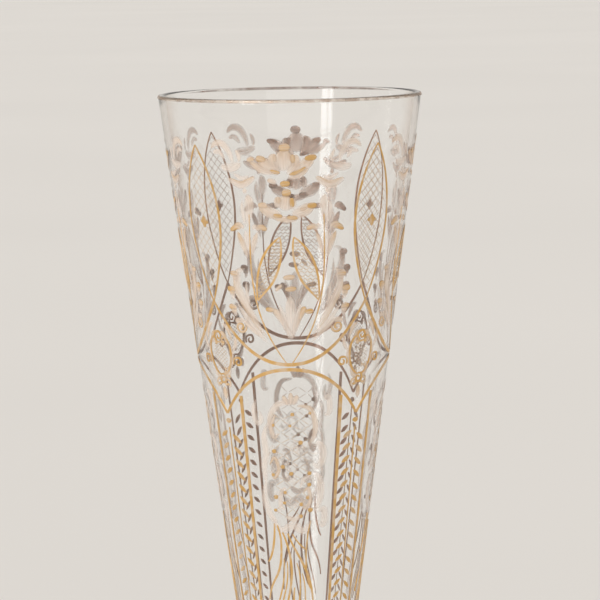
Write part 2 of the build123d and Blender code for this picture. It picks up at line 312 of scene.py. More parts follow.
def make_hand_wear():
    """Patches and grain that gold, ground glass and handled glass all have, at sizes in millimetres."""
    sizes = {"Patch Size": 4.0, "Grain Size": 0.12}
    tree = new_group("hand_wear", sizes, {"Patches": "NodeSocketFloat", "Grain": "NodeSocketFloat"})
    given = add_node(tree, "NodeGroupInput")
    where = add_node(tree, "ShaderNodeTexCoord").outputs["Object"]
    results = {}
    for label, size in (("Patches", "Patch Size"), ("Grain", "Grain Size")):
        scale = add_node(tree, "ShaderNodeMath", {0: 1 / MM, 1: given.outputs[size]}, operation="DIVIDE")
        noise = add_node(tree, "ShaderNodeTexNoise", {"Vector": where, "Scale": scale.outputs[0]})
        results[label] = spread(tree, noise.outputs["Fac"], 0.32, 0.68)
    add_node(tree, "NodeGroupOutput", results)
    return tree


def make_wheel_streaks():
    """The streaks that a wheel leaves along a stroke, from the run and across attributes in millimetres."""
    tree = new_group("wheel_streaks", {"Length": 2.5, "Breadth": 0.3}, {"Streaks": "NodeSocketFloat"})
    given = add_node(tree, "NodeGroupInput")
    shares = {}
    for axis, label, size in (("X", "run", "Length"), ("Y", "across", "Breadth")):
        place = add_node(tree, "ShaderNodeAttribute", attribute_name=label).outputs["Fac"]
        share = add_node(tree, "ShaderNodeMath", {0: place, 1: given.outputs[size]}, operation="DIVIDE")
        shares[axis] = share.outputs[0]
    place = add_node(tree, "ShaderNodeCombineXYZ", shares).outputs[0]
    noise = add_node(tree, "ShaderNodeTexNoise", {"Vector": place, "Scale": 1.0})
    add_node(tree, "NodeGroupOutput", {"Streaks": spread(tree, noise.outputs["Fac"], 0.32, 0.68)})
    return tree


def make_inward():
    """A mask that is 1 where a surface faces the axis of the glass, so that it is seen through the wall.
    The gold and the ground glass paint shade where it is 1.
    """
    tree = new_group("inward", {}, {"Mask": "NodeSocketFloat"})
    place = add_node(tree, "ShaderNodeTexCoord").outputs["Object"]
    level = add_node(tree, "ShaderNodeVectorMath", {0: place, 1: (1, 1, 0)}, operation="MULTIPLY")
    outward = add_node(tree, "ShaderNodeVectorMath", {0: level.outputs[0]}, operation="NORMALIZE")
    normal = add_node(tree, "ShaderNodeNewGeometry").outputs["Normal"]
    pair = {0: normal, 1: outward.outputs[0]}
    facing = add_node(tree, "ShaderNodeVectorMath", pair, operation="DOT_PRODUCT")
    mask = spread(tree, facing.outputs["Value"], 0.1, -0.3)
    add_node(tree, "NodeGroupOutput", {"Mask": mask})
    return tree


def use_group(tree, name, **inputs):
    """A node group placed in a material with its own values."""
    node = tree.nodes.new("ShaderNodeGroup")
    node.node_tree = bpy.data.node_groups[name]
    for label, value in inputs.items():
        node.inputs[label.replace("_", " ")].default_value = value
    return node


# ---- Materials -------------------------------------------------------------------------------------------
def new_material(name):
    """A material, its node tree and its Principled shader."""
    material = bpy.data.materials.new(name)
    material.use_nodes = True
    tree = material.node_tree
    return material, tree, tree.nodes["Principled BSDF"]


def bump(tree, height, depth, strength):
    """The normal of a surface with that height, in metres deep."""
    return add_node(
        tree, "ShaderNodeBump", {"Height": height, "Distance": depth, "Strength": strength}
    ).outputs["Normal"]


def make_blown_glass():
    """Clear glass with a hand-blown waver and faint smears, and painted shade that makes it darker and
    browner where it is seen along its wall.
    """
    settings = bpy.context.scene.flute_glass
    material, tree, shader = new_material("blown_glass")
    wear = use_group(tree, "hand_wear", Patch_Size=14.0, Grain_Size=1.6)
    # Painted shade: towards grazing views the glass's colour turns darker and browner, so that its edges
    # look shaded
    along = add_node(tree, "ShaderNodeLayerWeight", {"Blend": 0.5}).outputs["Facing"]
    edge = spread(tree, along, 0.55, 1.0)
    colour = mix_colours(tree, edge, settings.tint, settings.painted_edge_shade)
    tree.links.new(colour, shader.inputs["Base Color"])
    tree.links.new(spread(tree, wear.outputs["Patches"], 0, 1, 0.0, 0.012), shader.inputs["Roughness"])
    tree.links.new(bump(tree, wear.outputs["Patches"], 0.02 * MM, 0.5), shader.inputs["Normal"])
    shader.inputs["IOR"].default_value = 1.5
    shader.inputs["Transmission Weight"].default_value = 1.0
    return material


def make_gold(name, gold, worn_away=False):
    """Fired gold, satin and rubbed thin in patches, with painted shade that turns it brown where its back
    shows through the glass.
    """
    settings = bpy.context.scene.flute_gilt
    material, tree, shader = new_material(name)
    wear = use_group(tree, "hand_wear", Patch_Size=2.2, Grain_Size=0.16)
    inward = use_group(tree, "inward").outputs["Mask"]
    rubbed = spread(tree, wear.outputs["Patches"], 0.35, 1.0, 0.0, 0.75)
    front = mix_colours(tree, rubbed, gold, settings.rubbed)
    # Painted shade: faces towards the axis take the darker inside colour instead of the gold
    tree.links.new(mix_colours(tree, inward, front, settings.inside), shader.inputs["Base Color"])
    tree.links.new(spread(tree, rubbed, 0, 1, 0.75, 0.25), shader.inputs["Metallic"])
    tree.links.new(spread(tree, wear.outputs["Grain"], 0, 1, 0.28, 0.52), shader.inputs["Roughness"])
    tree.links.new(bump(tree, wear.outputs["Grain"], 0.01 * MM, 0.6), shader.inputs["Normal"])
    if worn_away:
        tree.links.new(spread(tree, wear.outputs["Patches"], 0.0, 1.0, 0.55, 0.16), shader.inputs["Alpha"])
    return material


def make_ground_glass():
    """Ground glass with gold washed over its tips, and painted shade on its sides that face the axis. The
    gilt attribute says how much gold.
    """
    settings = bpy.context.scene.flute_engraving
    gilding = bpy.context.scene.flute_gilt
    material, tree, shader = new_material("ground_glass")
    wear = use_group(tree, "hand_wear", Patch_Size=1.5, Grain_Size=0.07)
    streaks = use_group(tree, "wheel_streaks").outputs["Streaks"]
    inward = use_group(tree, "inward").outputs["Mask"]
    washed = add_node(tree, "ShaderNodeAttribute", attribute_name="gilt").outputs["Fac"]
    cover = add_node(tree, "ShaderNodeAttribute", attribute_name="cover").outputs["Fac"]
    rubbed = spread(tree, streaks, 0, 1, 1.4, 0.6)
    ragged = add_node(tree, "ShaderNodeMath", {0: washed, 1: rubbed}, operation="MULTIPLY")
    gold = spread(tree, ragged.outputs[0], 0.05, 0.85)
    # Painted shade: sides that face the axis take the darker inside colours, and are a little fainter
    front = mix_colours(tree, gold, settings.matt, gilding.gold)
    back = mix_colours(tree, gold, settings.matt_inside_shade, gilding.inside)
    tree.links.new(mix_colours(tree, inward, front, back), shader.inputs["Base Color"])
    streaked = spread(tree, streaks, 0, 1, 0.40, 0.76)
    inside = spread(tree, inward, 0, 1, 1, 0.85)
    faint = add_node(tree, "ShaderNodeMath", {0: streaked, 1: inside}, operation="MULTIPLY")
    ground = add_node(tree, "ShaderNodeMath", {0: cover, 1: faint.outputs[0]}, operation="MULTIPLY")
    layers = {0: gold, 1: cover, 2: ground.outputs[0]}
    gilded = add_node(tree, "ShaderNodeMath", layers, operation="MULTIPLY_ADD")
    tree.links.new(spread(tree, gilded.outputs[0], 0, 1.15, 0.0, 0.92), shader.inputs["Alpha"])
    tree.links.new(spread(tree, wear.outputs["Grain"], 0, 1, 0.55, 0.8), shader.inputs["Roughness"])
    tree.links.new(bump(tree, wear.outputs["Grain"], 0.012 * MM, 0.7), shader.inputs["Normal"])
    return material


def make_floor_paint():
    """Plain pale paint with a faint unevenness."""
    settings = bpy.context.scene.flute_stage
    material, tree, shader = new_material("floor_paint")
    wear = use_group(tree, "hand_wear", Patch_Size=900.0, Grain_Size=60.0)
    base = Vector(settings.floor_colour)
    colour = mix_colours(tree, wear.outputs["Patches"], base * 0.985, base * 1.01)
    tree.links.new(colour, shader.inputs["Base Color"])
    shader.inputs["Roughness"].default_value = 0.9
    shader.inputs["Specular IOR Level"].default_value = 0.1
    return material


# ---- Finishing a piece -----------------------------------------------------------------------------------
def finish_piece(bm, name, material, replaced=()):
    """Makes a bmesh a piece of the flute, which rides on its one body."""
    mesh = bpy.data.meshes.new(name)
    bm.to_mesh(mesh)
    bm.free()
    piece = bpy.data.objects.new(name, mesh)
    bpy.context.scene.collection.objects.link(piece)
    mesh.materials.append(bpy.data.materials[material])
    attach(piece, "root")
    if replaced:
        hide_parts(*replaced)
    return piece


# ---- Turned glass ----------------------------------------------------------------------------------------
def half_section(node):
    """A bmesh of the outline of a turned node: the half of its XZ section that lies towards +X."""
    bm = bmesh.new()
    bm.from_mesh(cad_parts[node].data)
    bmesh.ops.remove_doubles(bm, verts=bm.verts, dist=0.0005 * MM)
    for across in ((0, 1, 0), (1, 0, 0)):
        everything = bm.verts[:] + bm.edges[:] + bm.faces[:]
        bmesh.ops.bisect_plane(bm, geom=everything, dist=0.0005 * MM, plane_co=(0, 0, 0), plane_no=across)
    outline = set()
    for edge in bm.edges:
        if all(abs(v.co.y) < 0.001 * MM and v.co.x > -0.001 * MM for v in edge.verts):
            outline.add(edge)
    bmesh.ops.delete(bm, geom=[edge for edge in bm.edges if edge not in outline], context="EDGES")
    bmesh.ops.delete(bm, geom=[vertex for vertex in bm.verts if not vertex.link_edges], context="VERTS")
    for edge in bm.edges[:]:
        if edge.calc_length() > 2 * OUTLINE_STEP * MM:
            cuts = ceil(edge.calc_length() / (OUTLINE_STEP * MM)) - 1
            bmesh.ops.subdivide_edges(bm, edges=[edge], cuts=cuts)
    return bm


def turn_piece(node):
    """Turns the outline of a CAD node into a smooth closed piece of glass."""
    settings = bpy.context.scene.flute_glass
    bm = half_section(node)
    bmesh.ops.spin(
        bm,
        geom=bm.verts[:] + bm.edges[:],
        cent=(0, 0, 0),
        axis=(0, 0, 1),
        angle=2 * pi,
        steps=settings.turns,
        use_merge=True,
    )
    bmesh.ops.remove_doubles(bm, verts=bm.verts, dist=WELD * MM)
    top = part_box(node)[1].z
    for vertex in bm.verts:
        radius = hypot(vertex.co.x, vertex.co.y)
        if node == "bowl" and radius > (radius_at(RIM_HEIGHT - vertex.co.z / MM) - 0.05) * MM:
            vertex.co -= Vector((vertex.co.x, vertex.co.y, 0)) / radius * settings.gild_gap
        if node != "bowl" and abs(vertex.co.z - top) < 0.001 * MM:
            vertex.co.z -= settings.joint_gap
    bmesh.ops.recalc_face_normals(bm, faces=bm.faces)
    for face in bm.faces:
        face.smooth = True
    for edge in bm.edges:
        edge.smooth = len(edge.link_faces) == 2 and edge.calc_face_angle() < radians(SHARP)
    return finish_piece(bm, f"turned_{node}", "blown_glass", [node])


# ---- Strokes on the bowl ---------------------------------------------------------------------------------
def radius_at(drop):
    """The bowl's outside radius in millimetres, at a drop below the rim."""
    return RIM_RADIUS - FALL * drop


def degree_at(drop):
    """Millimetres round the bowl in one degree, at that drop."""
    return radius_at(drop) * pi / 180


def on_bowl(angle, drop, lift):
    """The point in metres at a place on the bowl, lifted off the glass by that many metres."""
    radius = radius_at(drop) * MM + lift
    return Vector((radius * sin(radians(angle)), -radius * cos(radians(angle)), (RIM_HEIGHT - drop) * MM))


def way_through(places, share):
    """The place that far along a smooth line through places, from 0 at the first to 1 at the last."""
    last = len(places) - 1
    step = min(int(share * last), last - 1)
    t = share * last - step
    before, start, end, after = [Vector(places[min(max(step + k, 0), last)]) for k in (-1, 0, 1, 2)]
    curve = (2 * before - 5 * start + 4 * end - after) * t**2
    curve += (3 * start - before - 3 * end + after) * t**3
    return (2 * start + (end - before) * t + curve) / 2


def mirrored(places):
    """The same places on the other side of the middle."""
    return [(-angle, drop) for angle, drop in places]


def spiral(middle, outer, inner, turns, start):
    """Places on a spiral from its outer end in, with radii in millimetres and the start in degrees."""
    angle, drop = middle
    places = []
    for step in range(ceil(8 * abs(turns)) + 1):
        share = step / ceil(8 * abs(turns))
        reach = outer + (inner - outer) * share
        turn = radians(start + 360 * turns * share)
        places.append((angle + reach * cos(turn) / degree_at(drop), drop + reach * sin(turn)))
    return places


def angle_at(edge, drop):
    """The angle that a line of places which runs down the bowl has at that drop, or None past its ends."""
    steps = 24
    above = way_through(edge, 0)
    for step in range(1, steps + 1):
        below = way_through(edge, step / steps)
        if above.y <= drop <= below.y and below.y > above.y:
            return above.x + (below.x - above.x) * (drop - above.y) / (below.y - above.y)
        above = below
    return None


def olive(share):
    """Breadth of a round-ended cut along its length."""
    return sin(pi * share) ** 0.55


def leaf(share):
    """Breadth of a cut that is pointed at both ends."""
    return sin(pi * share) ** 0.95


def drop_shape(share):
    """Breadth of a cut that starts as a point and ends round and broad."""
    return sin(pi * share**1.7) ** 0.7


def line(share):
    """Breadth of a line that keeps its width nearly to its ends."""
    return min(1.0, 3.5 * sin(pi * share) ** 0.8)


class Engraver:
    """Cuts the strokes of one piece, about one middle angle, with the small slips of a hand."""

    def __init__(self, name, number, offset=0.0):
        self.name = f"{name}_{number + 1}"
        self.middle = (number + offset) * PANEL_ANGLE
        self.hand = random.Random(self.name)
        self.bm = bmesh.new()
        self.gilt = self.bm.verts.layers.float.new("gilt")
        self.cover = self.bm.verts.layers.float.new("cover")
        self.run = self.bm.verts.layers.float.new("run")
        self.across = self.bm.verts.layers.float.new("across")
        self.settings = bpy.context.scene.flute_engraving

    def stroke(
        self,
        places,
        breadth,
        shape=olive,
        gilt=(0, 0),
        edge=0.0,
        sides=10,
        steps=None,
        relief=None,
        cover=1.0,
    ):
        """One stroke along places, breadth in mm, with gold at its start, its end and one edge.

        It thins out towards its edges, and cover says how dense its middle is.
        """
        steps = steps or max(6, 4 * len(places))
        relief = self.settings.relief if relief is None else relief
        slip = self.settings.slip / MM
        breadth *= self.settings.boldness
        ends = [Vector((angle * degree_at(drop), drop)) for angle, drop in places]
        length = sum((end - start).length for start, end in zip(ends, ends[1:]))
        start = self.hand.uniform(0, 500)
        stray = Vector((self.hand.uniform(-slip, slip), self.hand.uniform(-slip, slip)))
        swell = self.hand.uniform(0.92, 1.08)
        bead = bmesh.ops.create_uvsphere(self.bm, u_segments=sides, v_segments=steps, radius=1)["verts"]
        for vertex in bead:
            share = acos(min(1, max(-1, vertex.co.z))) / pi
            turn = atan2(vertex.co.y, vertex.co.x)
            here = way_through(places, share)
            way = way_through(places, min(1, share + 0.02)) - way_through(places, max(0, share - 0.02))
            degree = degree_at(here.y)
            across = Vector((-way.y, way.x * degree)).normalized()
            thick = shape(share) * swell
            aside = across * cos(turn) * thick * breadth / 2 + stray
            lift = sin(turn) * (relief if sin(turn) > 0 else self.settings.bed) * sqrt(max(thick, 0))
            vertex.co = on_bowl(self.middle + here.x + aside.x / degree, here.y + aside.y, lift)
            vertex[self.gilt] = gilt[0] + (gilt[1] - gilt[0]) * share + max(0, edge * cos(turn))
            dense = abs(sin(turn)) ** 1.5 * min(1, thick * 1.3)
            vertex[self.run] = start + share * length
            vertex[self.across] = cos(turn) * thick * breadth / 2
            vertex[self.cover] = cover * (EDGE_COVER + (1 - EDGE_COVER) * dense)

    def both(self, places, breadth, **more):
        """The same stroke on both sides of the middle."""
        self.stroke(places, breadth, **more)
        if "edge" in more:
            more["edge"] = -more["edge"]
        self.stroke(mirrored(places), breadth, **more)

    def hatch(self, places, gilt=0.5, width=1.0):
        """A fine line through places."""
        steps = max(3, 2 * len(places))
        breadth = self.settings.hatch / MM * width
        self.stroke(
            places,
            breadth,
            shape=line,
            gilt=(gilt, gilt),
            sides=4,
            steps=steps,
            relief=FLAT_RELIEF * MM,
            cover=1.8,
        )

    def dot(self, place, breadth, gilt=1.0):
        """A round dab."""
        angle, drop = place
        reach = breadth / 2
        self.stroke([(angle, drop - reach), (angle, drop + reach)], breadth, gilt=(gilt, gilt), steps=6)

    def done(self):
        """Closes the piece."""
        bmesh.ops.recalc_face_normals(self.bm, faces=self.bm.faces)
        for face in self.bm.faces:
            face.smooth = True
        return finish_piece(self.bm, self.name, "ground_glass")


# ---- Motifs ----------------------------------------------------------------------------------------------
def cut_bouquet(number):
    """Two open flowers, one over the other, in the middle of a panel: pale petals with gilded tips."""
    cut = Engraver("bouquet", number)
    petals = (
        ([(-0.4, 10.6), (-0.7, 15.4)], 3.6),
        ([(-5.2, 11.4), (-5.6, 13.4), (-2.6, 15.6)], 2.0),
        ([(4.4, 11.6), (4.2, 13.8), (0.6, 16.0)], 2.0),
        ([(-12.0, 12.5), (-7.6, 14.0), (-2.2, 15.5)], 2.6),
        ([(-16.2, 12.9), (-11.0, 14.8), (-5.0, 15.6)], 1.5),
        ([(12.8, 12.5), (8.2, 14.0), (2.4, 15.9)], 2.5),
        ([(10.2, 14.6), (5.6, 16.0), (0.8, 16.6)], 1.3),
        ([(-8.6, 17.0), (-4.0, 17.7)], 1.1),
        ([(0.0, 20.4), (-0.8, 23.8)], 3.0),
        ([(-3.8, 20.6), (-4.2, 23.2)], 1.7),
        ([(3.0, 20.9), (2.8, 23.4)], 1.7),
        ([(-12.8, 22.5), (-8.0, 23.9), (-1.8, 24.7)], 2.3),
        ([(13.0, 22.6), (8.4, 23.8), (2.6, 24.7)], 2.3),
        ([(-7.6, 24.7), (0.4, 25.6), (7.8, 24.8)], 1.4),
    )
    tips = (
        ([(-2.8, 10.2), (2.6, 10.0)], 1.6, 0.7),
        ([(-4.9, 11.4), (-4.4, 13.3)], 0.9, 0.4),
        ([(3.0, 11.6), (3.4, 13.6)], 1.0, 0.65),
        ([(-13.4, 12.3), (-8.6, 12.8)], 1.3, 0.65),
        ([(-17.6, 12.9), (-13.8, 12.6)], 1.0, 0.5),
        ([(8.6, 12.7), (14.4, 12.3)], 1.1, 1.0),
        ([(9.6, 14.3), (5.6, 15.4), (1.8, 16.0)], 0.8, 0.8),
        ([(-7.2, 15.1), (-2.2, 15.7)], 0.8, 0.75),
        ([(-2.8, 17.9), (2.2, 17.7)], 1.2, 0.9),
        ([(-2.2, 20.0), (2.4, 19.8)], 1.4, 0.75),
        ([(-4.0, 20.6), (-3.6, 22.2)], 0.9, 0.45),
        ([(2.7, 20.8), (2.9, 23.0)], 1.1, 0.95),
        ([(-13.4, 22.4), (-8.6, 22.6)], 1.1, 0.6),
        ([(-6.4, 24.6), (-1.6, 24.9)], 0.9, 0.8),
        ([(9.6, 22.8), (14.6, 22.5)], 1.1, 0.95),
        ([(6.4, 23.5), (10.0, 23.1)], 1.0, 0.35),
        ([(0.2, 25.1), (5.8, 25.2)], 0.9, 0.9),
    )
    for places, breadth in petals:
        cut.stroke(places, breadth * 1.12, gilt=(0.4, 0.05), cover=1.05)
    for places, breadth, gold in tips:
        cut.stroke(places, breadth * 1.2, gilt=(gold * 0.9, gold * 0.8), relief=cut.settings.relief * 1.4)
    return cut.done()


def cut_finials(number):
    """The bud, long petal and tulip that stand on each top of the lyre."""
    cut = Engraver("finials", number)
    for side in (-1, 1):
        middle = side * 19.0

        def on_side(*places):
            return [(middle + side * angle, drop) for angle, drop in places]

        arc = on_side((8.8, 16.9), (1.6, 18.2), (-5.2, 16.4))
        cut.stroke(arc, 1.7, gilt=(0.1, 0.2), edge=0.45 * side, steps=14)
        cut.stroke(on_side((5.6, 15.6), (1.4, 16.8), (-2.2, 16.2)), 1.2, gilt=(0, 0.1))
        cut.stroke(on_side((-0.6, 19.3), (1.6, 19.5)), 1.3, gilt=(0.15, 0.15))
        cut.stroke(on_side((-0.6, 20.0), (-1.2, 22.4), (0.4, 27.4)), 2.2, shape=leaf, gilt=(0.25, 0))
        cut.stroke(on_side((2.0, 21.4), (2.2, 24.0), (1.2, 27.2)), 1.3, shape=leaf, gilt=(0.1, 0))
        cut.stroke(on_side((3.6, 27.5), (6.4, 27.2), (9.8, 28.1)), 1.4, gilt=(0.2, 0.95))
        cut.stroke(on_side((2.4, 27.6), (4.6, 26.8), (7.6, 26.9)), 1.1, gilt=(0.1, 0.6))
        cut.stroke(on_side((-3.4, 27.8), (-6.2, 27.2), (-9.4, 27.8)), 1.4, gilt=(0.1, 0.75))
        cut.stroke(on_side((-2.2, 27.6), (-4.4, 26.6)), 1.0, gilt=(0, 0.2))
        cut.stroke(on_side((5.8, 28.2), (3.6, 30.6), (0.8, 34.6)), 1.4, shape=leaf, gilt=(0.6, 0))
        cut.stroke(on_side((-4.8, 28.2), (-2.6, 30.6), (-0.2, 34.4)), 1.3, shape=leaf, gilt=(0.35, 0))
        cut.stroke(on_side((1.4, 27.6), (0.9, 30.2), (0.5, 33.8)), 1.8, shape=leaf)
    return cut.done()


def cut_crests(number):
    """The small scrolls between the bouquet and the tops of the ovals."""
    cut = Engraver("crests", number)
    hook = [(35.8, 10.4), (32.6, 9.2), (28.6, 9.5), (25.6, 11.6), (24.6, 13.8)]
    cut.both(hook, 1.7, gilt=(0.25, 0), steps=16)
    cut.both([(34.6, 11.4), (31.2, 11.2), (28.4, 12.8)], 1.2, gilt=(0.1, 0))
    cut.both([(31.4, 14.2), (26.0, 14.6), (20.4, 13.6)], 1.9, gilt=(0, 0.1))
    cut.both([(22.6, 10.6), (21.2, 12.2), (21.4, 13.4)], 1.0, gilt=(0.2, 0))
    return cut.done()


def cut_acanthus(number):
    """The broad curled leaf that rises from the swag on each side of the panel."""
    cut = Engraver("acanthus", number)
    trunk = [(11.6, 51.8), (17.5, 48.4), (23.0, 44.4), (27.4, 40.4), (26.4, 37.1), (21.6, 36.4)]
    cut.both(trunk, 2.1, shape=leaf, gilt=(0.2, 0.1), edge=0.3, steps=24, cover=0.9)
    under = [(12.2, 52.6), (18.4, 49.8), (24.6, 46.6), (29.6, 43.4)]
    cut.both(under, 1.4, shape=leaf, gilt=(0.1, 0.05), steps=16)
    cut.both([(15.6, 51.4), (21.6, 49.2), (27.6, 46.9)], 1.1, shape=leaf, gilt=(0.1, 0.2))
    cut.both([(20.6, 44.8), (22.4, 41.8), (22.2, 38.8)], 0.8, shape=leaf, gilt=(0.05, 0.1))
    for reach, drop, gold in ((31.4, 37.4, 0.6), (34.4, 40.8, 0.9), (34.2, 44.6, 0.75), (31.0, 47.8, 0.3)):
        for row in range(3):
            inner, outer = reach - 5.4 + 0.4 * row, reach - 1.3 * row
            wash = gold * (1 - row / 2.2)
            dab = [(inner, drop + 0.8 * row + 0.3), (outer, drop + 0.8 * row)]
            cut.both(dab, 1.5, gilt=(wash * 0.4, wash))
    cut.both(spiral((27.6, 49.2), 1.35, 0.3, -1.4, 200), 0.55, shape=line, gilt=(0.5, 0.9), steps=30)
    return cut.done()


def cut_palmette(number):
    """The upright palmette over the middle of the swag, with two dabs over it."""
    cut = Engraver("palmette", number)
    cut.stroke([(1.4, 52.0), (1.3, 47.0), (1.2, 42.0)], 2.4, gilt=(0, 0.12))
    cut.stroke([(0.6, 51.6), (-2.4, 47.4), (-4.6, 43.8)], 1.6, shape=leaf, gilt=(0, 0.1))
    cut.stroke([(2.2, 51.6), (5.0, 47.4), (7.0, 43.8)], 1.6, shape=leaf, gilt=(0, 0.15))
    cut.stroke([(-0.4, 50.8), (-4.8, 46.8), (-8.0, 44.9)], 1.5, shape=drop_shape, gilt=(0, 0.4))
    cut.stroke([(3.0, 50.8), (6.8, 46.4), (9.4, 44.6)], 1.4, shape=drop_shape, gilt=(0.2, 0.7))
    cut.stroke([(-7.0, 45.3), (-12.2, 45.1)], 1.1, gilt=(0.3, 0.9))
    cut.stroke([(8.6, 45.7), (13.6, 45.5)], 1.2, gilt=(0.6, 1.0))
    cut.stroke([(-2.6, 38.3), (4.0, 38.1)], 1.3, gilt=(0.45, 0.5))
    cut.stroke([(-1.8, 40.7), (4.6, 40.5)], 1.2, gilt=(0.4, 0.7))
    cut.stroke([(-6.6, 41.0), (-2.8, 39.6)], 0.9, gilt=(0.2, 0.4))
    return cut.done()


OVAL_SIDE = [(0, OVAL_TOP), (6.2, 15.9), (10.4, 26.5), (7.1, 36.0), (0, OVAL_FOOT)]
LEAF_OUTER = [(3.4, 29.4), (9.6, 31.9), (14.4, 35.9), (16.3, 39.7), (16.3, 43.2)]
LEAF_INNER = [(3.4, 29.4), (3.0, 32.9), (5.6, 37.5), (10.8, 40.8), (16.3, 43.2)]


def cut_lattice(cut, edge, slope, pitch, margin, width=1.0):
    """A diagonal lattice inside a figure that is alike on both sides of the middle, up to its edge."""
    top, foot = edge[0][1], edge[-1][1]
    widest = max(angle for angle, drop in edge)
    reach = slope * widest
    for lean in (-1, 1):
        for number in range(floor((foot - top + 2 * reach) / pitch) + 1):
            start = top - reach + number * pitch
            inside = []
            for step in range(-20, 21):
                angle = widest * step / 20
                drop = start + lean * slope * angle
                limit = angle_at(edge, drop)
                if limit is not None and abs(angle) < limit - margin:
                    inside.append((angle, drop))
            if len(inside) > 2:
                cut.hatch([inside[0], inside[len(inside) // 2], inside[-1]], gilt=0.38, width=width)


def cut_oval_lattice(number):
    """The diagonal lattice inside an oval, with a small flower at its middle."""
    cut = Engraver("oval_lattice", number, 0.5)
    cut_lattice(cut, OVAL_SIDE, 0.46, 2.0, 0.5)
    for angle in (-1.7, 1.7):
        cut.stroke([(angle * 0.4, 26.5), (angle * 1.6, 26.5)], 0.8, gilt=(0.7, 0.9))
    return cut.done()


def cut_leaf_waves(number):
    """The wavering lines that fill the two leaves inside the lyre."""
    cut = Engraver("leaf_waves", number)
    pitch = 0.72
    for side in (-1, 1):
        for row in range(17):
            drop = 30.6 + row * pitch
            near, far = angle_at(LEAF_INNER, drop), angle_at(LEAF_OUTER, drop - 0.1)
            if near is None or far is None or far - near < 1.6:
                continue
            places = []
            for step in range(7):
                angle = near + 0.5 + (far - near - 1.0) * step / 6
                wave = 0.26 * (1 if (step + row) % 2 else -1)
                places.append((side * angle, drop + wave))
            cut.hatch(places, gilt=0.55, width=1.15)
    return cut.done()


def cut_pilaster_cartouche(number):
    """The small latticed shield over a pilaster, inside its gilt scrollwork."""
    cut = Engraver("pilaster_cartouche", number, 0.5)
    middle = (SCROLL_TOP + SCROLL_FOOT) / 2
    shield = [(0, middle - 3.4), (5.2, middle - 2.4), (6.2, middle), (4.8, middle + 2.6), (0, middle + 3.4)]
    cut_lattice(cut, shield, 0.28, 0.8, 0.2, width=0.8)
    cut.both([(0.4, middle - 5.4), (4.0, middle - 5.0), (6.6, middle - 2.8)], 1.3, gilt=(0.5, 0.3))
    cut.both([(1.4, middle - 3.4), (4.4, middle - 3.2)], 1.3, gilt=(0.7, 0.5))
    cut.both([(8.0, middle - 3.4), (9.4, middle - 0.4), (7.4, middle + 2.4)], 1.1, gilt=(0.1, 0.3))
    cut.both([(1.0, middle + 4.4), (4.6, middle + 3.8), (7.0, middle + 1.4)], 1.3, gilt=(0.45, 0.1))
    wing = [(3.2, middle - 7.6), (7.4, middle - 6.6), (10.4, middle - 3.6)]
    cut.both(wing, 1.2, shape=leaf, gilt=(0.1, 0.4))
    cut.both([(9.8, middle - 1.4), (12.4, middle - 3.0), (13.2, middle - 5.0)], 1.0, gilt=(0.05, 0.3))
    cut.both(spiral((3.4, middle + 5.6), 1.0, 0.3, -1.2, 90), 0.6, shape=line, gilt=(0.3, 0.8), steps=20)
    cut.stroke([(0, middle + 6.4), (0, middle + 9.6)], 1.5, shape=leaf, gilt=(0.6, 0.2))
    for dab in range(9):
        place = (cut.hand.uniform(-5, 5), middle + cut.hand.uniform(1.8, 6.4))
        cut.stroke([place, (place[0] + 1.6, place[1] - 0.5)], 0.8, gilt=(0.2, 0.7))
    return cut.done()


